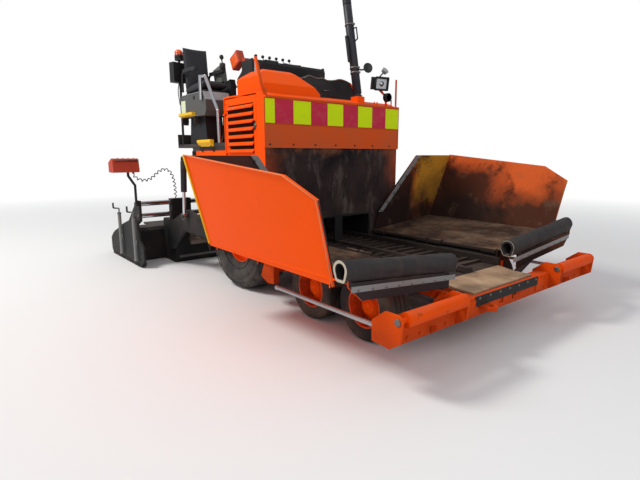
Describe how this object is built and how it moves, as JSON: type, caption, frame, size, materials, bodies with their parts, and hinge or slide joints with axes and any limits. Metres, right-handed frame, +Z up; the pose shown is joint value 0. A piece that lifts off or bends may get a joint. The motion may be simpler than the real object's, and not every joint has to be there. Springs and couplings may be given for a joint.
{
  "type": "wheeled asphalt paver",
  "caption": "Wheeled asphalt paver with a folding hopper, slat conveyors, push rollers, operator's deck, augers and a towed screed with sliding extensions.",
  "frame": {"origin": "on the ground under the middle of the bounding box", "axes": "+X is the direction of travel, +Y the machine's left, +Z up"},
  "size_m": [5.505, 3.3714, 3.0526],
  "materials": {
    "orange_paint": "orange paint, dusty, scratched",
    "black_paint": "black paint, dusty, with asphalt stains",
    "grey_paint": "grey paint",
    "black_vinyl": "black seat vinyl",
    "chrome": "chromed steel",
    "yellow_paint": "yellow safety paint",
    "stack_paint": "heat-stained black paint",
    "worn_steel": "worn steel with asphalt residue",
    "rubber": "dusty black rubber",
    "tyre": "dusty tyre rubber",
    "brick_red": "brick red paint",
    "cord_jacket": "black curly cord jacket"
  },
  "bodies": {
    "chassis": {"main_frame": "orange_paint", "rear_axle_housing": "black_paint", "front_bogie": "black_paint", "bumper_beam": "orange_paint", "guide_rods": "grey_paint", "conveyor": "worn_steel", "apron_lip": "rubber", "bulkhead": "orange_paint", "engine_hood": "orange_paint", "engine_block": "black_paint", "deck": "black_paint", "side_boxes": "grey_paint", "console": "black_paint", "seats": "black_vinyl", "handrails": "chrome", "steps": "yellow_paint", "exhaust_stack": "stack_paint", "work_lamps": "black_paint", "beacon_mast": "black_paint"},
    "hopper_wing_right": {"wing_right": "orange_paint", "wing_roll_right": "rubber"},
    "hopper_wing_left": {"wing_left": "orange_paint", "wing_roll_left": "rubber"},
    "wing_cylinder_barrel_right": {"wing_barrel_right": "black_paint"},
    "wing_cylinder_rod_right": {"wing_rod_right": "chrome"},
    "wing_cylinder_barrel_left": {"wing_barrel_left": "black_paint"},
    "wing_cylinder_rod_left": {"wing_rod_left": "chrome"},
    "engine_door_right": {"side_door_right": "orange_paint"},
    "engine_door_left": {"side_door_left": "orange_paint"},
    "truck_roller_right": {"push_roller_right": "orange_paint"},
    "truck_roller_left": {"push_roller_left": "orange_paint"},
    "rear_wheel_right": {"rear_tyre_right": "tyre", "rear_rim_right": "orange_paint"},
    "rear_wheel_left": {"rear_tyre_left": "tyre", "rear_rim_left": "orange_paint"},
    "front_knuckle_1_right": {"knuckle_1_right": "worn_steel"},
    "front_wheel_body_1_right": {"front_wheel_1_right": "tyre"},
    "front_knuckle_2_right": {"knuckle_2_right": "worn_steel"},
    "front_wheel_body_2_right": {"front_wheel_2_right": "tyre"},
    "front_knuckle_1_left": {"knuckle_1_left": "worn_steel"},
    "front_wheel_body_1_left": {"front_wheel_1_left": "tyre"},
    "front_knuckle_2_left": {"knuckle_2_left": "worn_steel"},
    "front_wheel_body_2_left": {"front_wheel_2_left": "tyre"},
    "auger_body_right": {"auger_right": "worn_steel"},
    "auger_body_left": {"auger_left": "worn_steel"},
    "screed": {"tow_arms": "black_paint", "screed_body": "black_paint", "screed_walkway": "black_paint"},
    "lift_barrels": {"screed_lift_barrels": "black_paint"},
    "lift_rods": {"screed_lift_rods": "chrome"},
    "screed_extension_right": {"extension_right": "black_paint", "control_box_right": "brick_red", "control_cord": "cord_jacket"},
    "screed_extension_left": {"extension_left": "black_paint", "control_box_left": "brick_red"}
  },
  "joints": [
    {"name": "wing_right_fold", "type": "hinge", "parent": "chassis", "child": "hopper_wing_right", "pos_m": [1.5475, -0.465, 0.55], "axis": [-1, 0, 0], "range_deg": [0, 45]},
    {"name": "wing_left_fold", "type": "hinge", "parent": "chassis", "child": "hopper_wing_left", "pos_m": [1.5475, 0.465, 0.55], "axis": [1, 0, 0], "range_deg": [0, 45]},
    {"name": "wing_right_barrel_pivot", "type": "hinge", "parent": "chassis", "child": "wing_cylinder_barrel_right", "pos_m": [2.3875, -0.545, 0.345], "axis": [-1, 0, 0], "range_deg": [-1, 39.88]},
    {"name": "wing_right_rod_slide", "type": "slide", "parent": "wing_cylinder_barrel_right", "child": "wing_cylinder_rod_right", "axis": [0, -0.9191, 0.3939], "range_m": [-0.002, 0.1601]},
    {"name": "wing_left_barrel_pivot", "type": "hinge", "parent": "chassis", "child": "wing_cylinder_barrel_left", "pos_m": [2.3875, 0.545, 0.345], "axis": [1, 0, 0], "range_deg": [-1, 39.88]},
    {"name": "wing_left_rod_slide", "type": "slide", "parent": "wing_cylinder_barrel_left", "child": "wing_cylinder_rod_left", "axis": [0, 0.9191, 0.3939], "range_m": [-0.002, 0.1601]},
    {"name": "engine_door_right_hinge", "type": "hinge", "parent": "chassis", "child": "engine_door_right", "pos_m": [0.0275, -0.874, 1.6], "axis": [0, 0, -1], "range_deg": [0, 80]},
    {"name": "engine_door_left_hinge", "type": "hinge", "parent": "chassis", "child": "engine_door_left", "pos_m": [0.0275, 0.874, 1.6], "axis": [0, 0, 1], "range_deg": [0, 80]},
    {"name": "push_roller_right_spin", "type": "hinge", "parent": "chassis", "child": "truck_roller_right", "pos_m": [2.7075, -0.938, 0.456], "axis": [0, 1, 0], "continuous": true},
    {"name": "push_roller_left_spin", "type": "hinge", "parent": "chassis", "child": "truck_roller_left", "pos_m": [2.7075, 0.938, 0.456], "axis": [0, 1, 0], "continuous": true},
    {"name": "rear_wheel_right_spin", "type": "hinge", "parent": "chassis", "child": "rear_wheel_right", "pos_m": [0.1225, -0.6925, 0.546], "axis": [0, 1, 0], "continuous": true},
    {"name": "rear_wheel_left_spin", "type": "hinge", "parent": "chassis", "child": "rear_wheel_left", "pos_m": [0.1225, 0.6925, 0.546], "axis": [0, 1, 0], "continuous": true},
    {"name": "steer_1_right", "type": "hinge", "parent": "chassis", "child": "front_knuckle_1_right", "pos_m": [1.9875, -0.56, 0.265], "axis": [0, 0, 1], "range_deg": [-20, 20]},
    {"name": "steer_2_right", "type": "hinge", "parent": "chassis", "child": "front_knuckle_2_right", "pos_m": [1.3475, -0.56, 0.265], "axis": [0, 0, 1], "range_deg": [-20, 20]},
    {"name": "steer_1_left", "type": "hinge", "parent": "chassis", "child": "front_knuckle_1_left", "pos_m": [1.9875, 0.56, 0.265], "axis": [0, 0, 1], "range_deg": [-20, 20]},
    {"name": "steer_2_left", "type": "hinge", "parent": "chassis", "child": "front_knuckle_2_left", "pos_m": [1.3475, 0.56, 0.265], "axis": [0, 0, 1], "range_deg": [-20, 20]},
    {"name": "front_wheel_1_right_spin", "type": "hinge", "parent": "front_knuckle_1_right", "child": "front_wheel_body_1_right", "pos_m": [1.9875, -0.725, 0.265], "axis": [0, 1, 0], "continuous": true},
    {"name": "front_wheel_2_right_spin", "type": "hinge", "parent": "front_knuckle_2_right", "child": "front_wheel_body_2_right", "pos_m": [1.3475, -0.725, 0.265], "axis": [0, 1, 0], "continuous": true},
    {"name": "front_wheel_1_left_spin", "type": "hinge", "parent": "front_knuckle_1_left", "child": "front_wheel_body_1_left", "pos_m": [1.9875, 0.725, 0.265], "axis": [0, 1, 0], "continuous": true},
    {"name": "front_wheel_2_left_spin", "type": "hinge", "parent": "front_knuckle_2_left", "child": "front_wheel_body_2_left", "pos_m": [1.3475, 0.725, 0.265], "axis": [0, 1, 0], "continuous": true},
    {"name": "auger_right_spin", "type": "hinge", "parent": "chassis", "child": "auger_body_right", "pos_m": [-1.0525, -0.45, 0.33], "axis": [0, 1, 0], "continuous": true},
    {"name": "auger_left_spin", "type": "hinge", "parent": "chassis", "child": "auger_body_left", "pos_m": [-1.0525, 0.45, 0.33], "axis": [0, 1, 0], "continuous": true},
    {"name": "screed_lift", "type": "hinge", "parent": "chassis", "child": "screed", "pos_m": [0.8575, 0, 0.48], "axis": [0, 1, 0], "range_deg": [0, 8]},
    {"name": "lift_barrels_pivot", "type": "hinge", "parent": "chassis", "child": "lift_barrels", "pos_m": [-0.7525, 0, 1.33], "axis": [0, 1, 0], "range_deg": [-3.39, 0.5]},
    {"name": "lift_rods_slide", "type": "slide", "parent": "lift_barrels", "child": "lift_rods", "axis": [-0.0905, 0, -0.9959], "range_m": [-0.2359, 0.002]},
    {"name": "extension_right_slide", "type": "slide", "parent": "screed", "child": "screed_extension_right", "axis": [0, -1, 0], "range_m": [-0.33, 0.35]},
    {"name": "extension_left_slide", "type": "slide", "parent": "screed", "child": "screed_extension_left", "axis": [0, 1, 0], "range_m": [-0.33, 0.35]}
  ],
  "couplings": [
    {"joint": "wing_right_barrel_pivot", "follows": "wing_right_fold", "ratio": 0.864},
    {"joint": "wing_right_rod_slide", "follows": "wing_right_fold", "m_per_rad": 0.20005},
    {"joint": "wing_left_barrel_pivot", "follows": "wing_left_fold", "ratio": 0.864},
    {"joint": "wing_left_rod_slide", "follows": "wing_left_fold", "m_per_rad": 0.20005},
    {"joint": "steer_2_right", "follows": "steer_1_right", "ratio": 1},
    {"joint": "steer_1_left", "follows": "steer_1_right", "ratio": 1},
    {"joint": "steer_2_left", "follows": "steer_1_right", "ratio": 1},
    {"joint": "lift_barrels_pivot", "follows": "screed_lift", "ratio": -0.36085},
    {"joint": "lift_rods_slide", "follows": "screed_lift", "m_per_rad": -1.6683}
  ]
}
